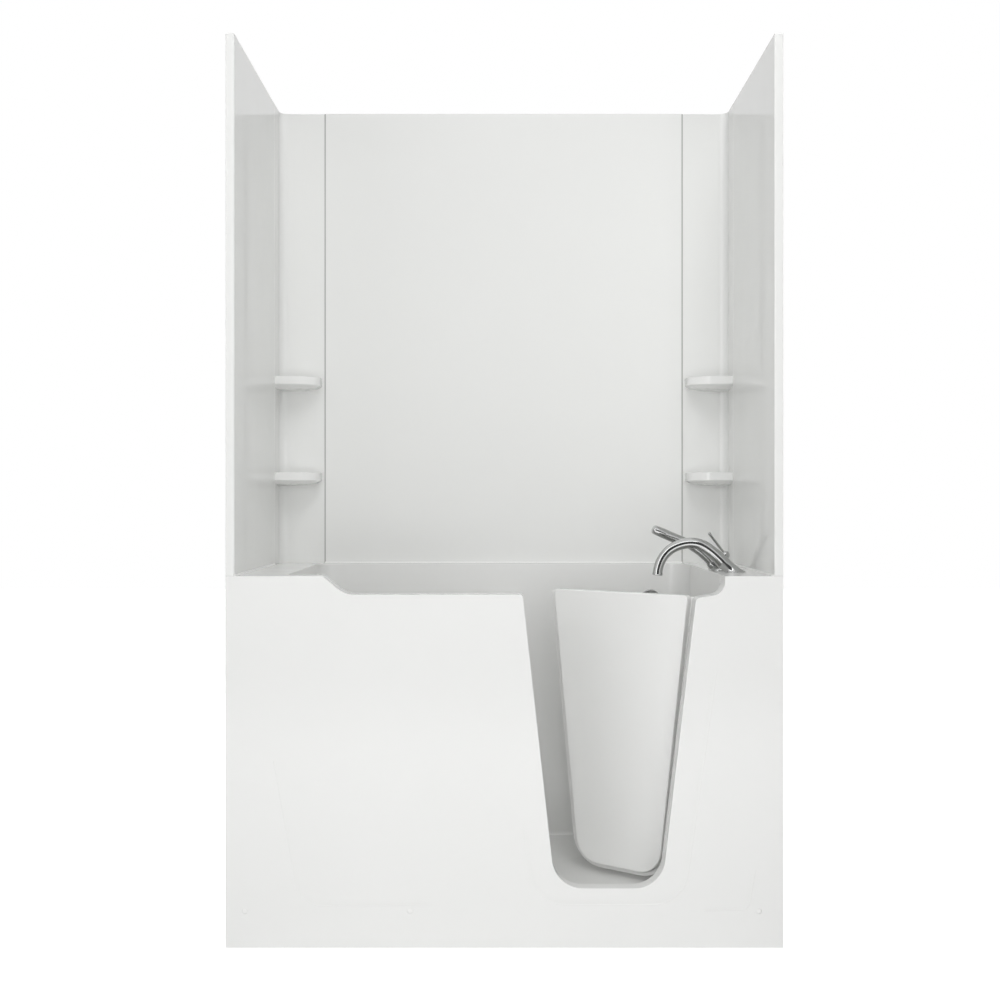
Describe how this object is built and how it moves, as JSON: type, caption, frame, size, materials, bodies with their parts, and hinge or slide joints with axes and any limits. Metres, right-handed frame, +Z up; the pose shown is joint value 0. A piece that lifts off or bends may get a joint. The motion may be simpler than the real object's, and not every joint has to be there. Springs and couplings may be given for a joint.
{
  "type": "walk-in bathtub",
  "caption": "White walk-in jetted bathtub with an inward-swinging front door, chrome deck taps and a wall surround with corner shelves, on a steel base frame.",
  "frame": {"origin": "on the floor, at the centre of the footprint", "axes": "+X to the right along the apron, +Y from the apron to the back wall, +Z up"},
  "size_m": [1.524, 0.762, 2.5],
  "materials": {
    "shell": "white gelcoat, smooth gloss",
    "wall_panel": "white moulded panel, smooth gloss",
    "door_skin": "white gloss",
    "chrome": "polished chrome",
    "frame_steel": "mill-finish stainless tube",
    "fastener_steel": "stainless fasteners",
    "hinge_steel": "satin stainless",
    "foot_rubber": "black rubber",
    "seal_rubber": "light grey rubber",
    "sealant": "white silicone",
    "pipe_plastic": "white pipe",
    "jet_plastic": "white jet fittings",
    "pump_plastic": "black moulded plastic",
    "motor_paint": "dark grey painted casing",
    "rotor_steel": "machined steel",
    "supply_metal": "plain brass",
    "cap_plastic": "white cap"
  },
  "bodies": {
    "tub": {"tub_shell": "shell", "front_apron": "shell", "apron_screws": "fastener_steel", "apron_screw_caps": "cap_plastic", "frame_rails": "frame_steel", "frame_bearers": "frame_steel", "frame_posts": "frame_steel", "leveling_studs": "fastener_steel", "stud_locknuts": "fastener_steel", "foot_pads": "foot_rubber", "back_wall_panel": "wall_panel", "left_corner_panel": "wall_panel", "right_corner_panel": "wall_panel", "left_end_panel": "wall_panel", "right_end_panel": "wall_panel", "wall_base_sealant": "sealant", "drain_body": "chrome", "waste_pipe": "pipe_plastic", "overflow_plate": "chrome", "jet_bodies": "pipe_plastic", "jet_trim_rings": "jet_plastic", "suction_fitting": "jet_plastic", "suction_pipe": "pipe_plastic", "pressure_manifold": "pipe_plastic", "pump_motor_casing": "motor_paint", "pump_wet_end": "pump_plastic", "pump_base": "pump_plastic", "control_bodies": "jet_plastic", "spout": "chrome", "hand_shower_holder": "chrome", "mixer_base": "chrome", "diverter_base": "chrome", "fitting_locknuts": "supply_metal", "supply_pipes": "supply_metal", "fixed_hinge_leaves": "hinge_steel", "hinge_pins": "hinge_steel", "latch_keeper": "hinge_steel"},
    "door": {"door_outer_skin": "door_skin", "door_inner_skin": "door_skin", "door_frame": "frame_steel", "door_seal": "seal_rubber", "door_hinge_leaves": "hinge_steel", "latch_housing": "door_skin"},
    "latch_handle": {"latch_handle": "chrome"},
    "latch_bolt": {"latch_bolt": "hinge_steel"},
    "mixer_hub": {"mixer_hub": "chrome"},
    "mixer_lever": {"mixer_lever": "chrome"},
    "diverter_knob": {"diverter_knob": "chrome"},
    "hand_shower": {"hand_shower": "chrome"},
    "overflow_knob": {"overflow_knob": "chrome"},
    "drain_stopper": {"drain_stopper": "chrome"},
    "pump_rotor": {"pump_rotor": "rotor_steel"},
    "start_button": {"start_button": "chrome"},
    "air_control_knob": {"air_control_knob": "chrome"},
    "jet_nozzle_1": {"jet_nozzle_1": "jet_plastic"},
    "jet_nozzle_2": {"jet_nozzle_2": "jet_plastic"},
    "jet_nozzle_3": {"jet_nozzle_3": "jet_plastic"},
    "jet_nozzle_4": {"jet_nozzle_4": "jet_plastic"},
    "jet_nozzle_5": {"jet_nozzle_5": "jet_plastic"},
    "jet_nozzle_6": {"jet_nozzle_6": "jet_plastic"}
  },
  "joints": [
    {"name": "door_swing", "type": "hinge", "parent": "tub", "child": "door", "pos_m": [0.548, -0.307, 0.615], "axis": [0, 0, -1], "range_deg": [-38, 48]},
    {"name": "latch_turn", "type": "hinge", "parent": "door", "child": "latch_handle", "pos_m": [0.22117, -0.04657, 0.8], "axis": [0.6157, 0.788, 0], "range_deg": [0, 90]},
    {"name": "latch_slide", "type": "slide", "parent": "door", "child": "latch_bolt", "axis": [-0.788, 0.6157, 0], "range_m": [0, 0.014]},
    {"name": "mixer_turn", "type": "hinge", "parent": "tub", "child": "mixer_hub", "pos_m": [0.6845, 0.089, 1.054], "axis": [0, 0, 1], "range_deg": [-45, 45]},
    {"name": "mixer_flow", "type": "hinge", "parent": "mixer_hub", "child": "mixer_lever", "pos_m": [0.6845, 0.089, 1.054], "axis": [0, 1, 0], "range_deg": [0, 25]},
    {"name": "diverter_lift", "type": "slide", "parent": "tub", "child": "diverter_knob", "axis": [0, 0, 1], "range_m": [0, 0.008]},
    {"name": "hand_shower_lift", "type": "slide", "parent": "tub", "child": "hand_shower", "axis": [-0.7071, 0, 0.7071], "range_m": [0, 0.09]},
    {"name": "overflow_turn", "type": "hinge", "parent": "tub", "child": "overflow_knob", "pos_m": [0.481, 0.34323, 0.897], "axis": [0, -0.9995, 0.0317], "range_deg": [0, 90]},
    {"name": "stopper_lift", "type": "slide", "parent": "tub", "child": "drain_stopper", "axis": [0, 0, 1], "range_m": [0, 0.008]},
    {"name": "pump_spin", "type": "hinge", "parent": "tub", "child": "pump_rotor", "pos_m": [-0.387, -0.016, 0.205], "axis": [1, 0, 0], "continuous": true},
    {"name": "start_press", "type": "slide", "parent": "tub", "child": "start_button", "axis": [0, -1, 0], "range_m": [0, 0.003], "stiffness_N_per_m": 400},
    {"name": "air_control_turn", "type": "hinge", "parent": "tub", "child": "air_control_knob", "pos_m": [-0.26, -0.315, 0.9], "axis": [0, 1, 0], "range_deg": [0, 270]},
    {"name": "jet_1_turn", "type": "hinge", "parent": "tub", "child": "jet_nozzle_1", "pos_m": [-0.59688, -0.1, 0.76], "axis": [0.9995, 0, 0.0317], "continuous": true},
    {"name": "jet_2_turn", "type": "hinge", "parent": "tub", "child": "jet_nozzle_2", "pos_m": [-0.59688, 0.1, 0.76], "axis": [0.9995, 0, 0.0317], "continuous": true},
    {"name": "jet_3_turn", "type": "hinge", "parent": "tub", "child": "jet_nozzle_3", "pos_m": [0.444, 0.33064, 0.5], "axis": [0, -0.9995, 0.0317], "continuous": true},
    {"name": "jet_4_turn", "type": "hinge", "parent": "tub", "child": "jet_nozzle_4", "pos_m": [0.326, 0.33064, 0.5], "axis": [0, -0.9995, 0.0317], "continuous": true},
    {"name": "jet_5_turn", "type": "hinge", "parent": "tub", "child": "jet_nozzle_5", "pos_m": [0.5803, -0.09, 0.3], "axis": [-0.9995, 0, 0.0317], "continuous": true},
    {"name": "jet_6_turn", "type": "hinge", "parent": "tub", "child": "jet_nozzle_6", "pos_m": [0.5803, 0.09, 0.3], "axis": [-0.9995, 0, 0.0317], "continuous": true}
  ],
  "couplings": [
    {"joint": "latch_slide", "follows": "latch_turn", "m_per_rad": 0.0089118},
    {"joint": "stopper_lift", "follows": "overflow_turn", "m_per_rad": 0.0050924}
  ]
}
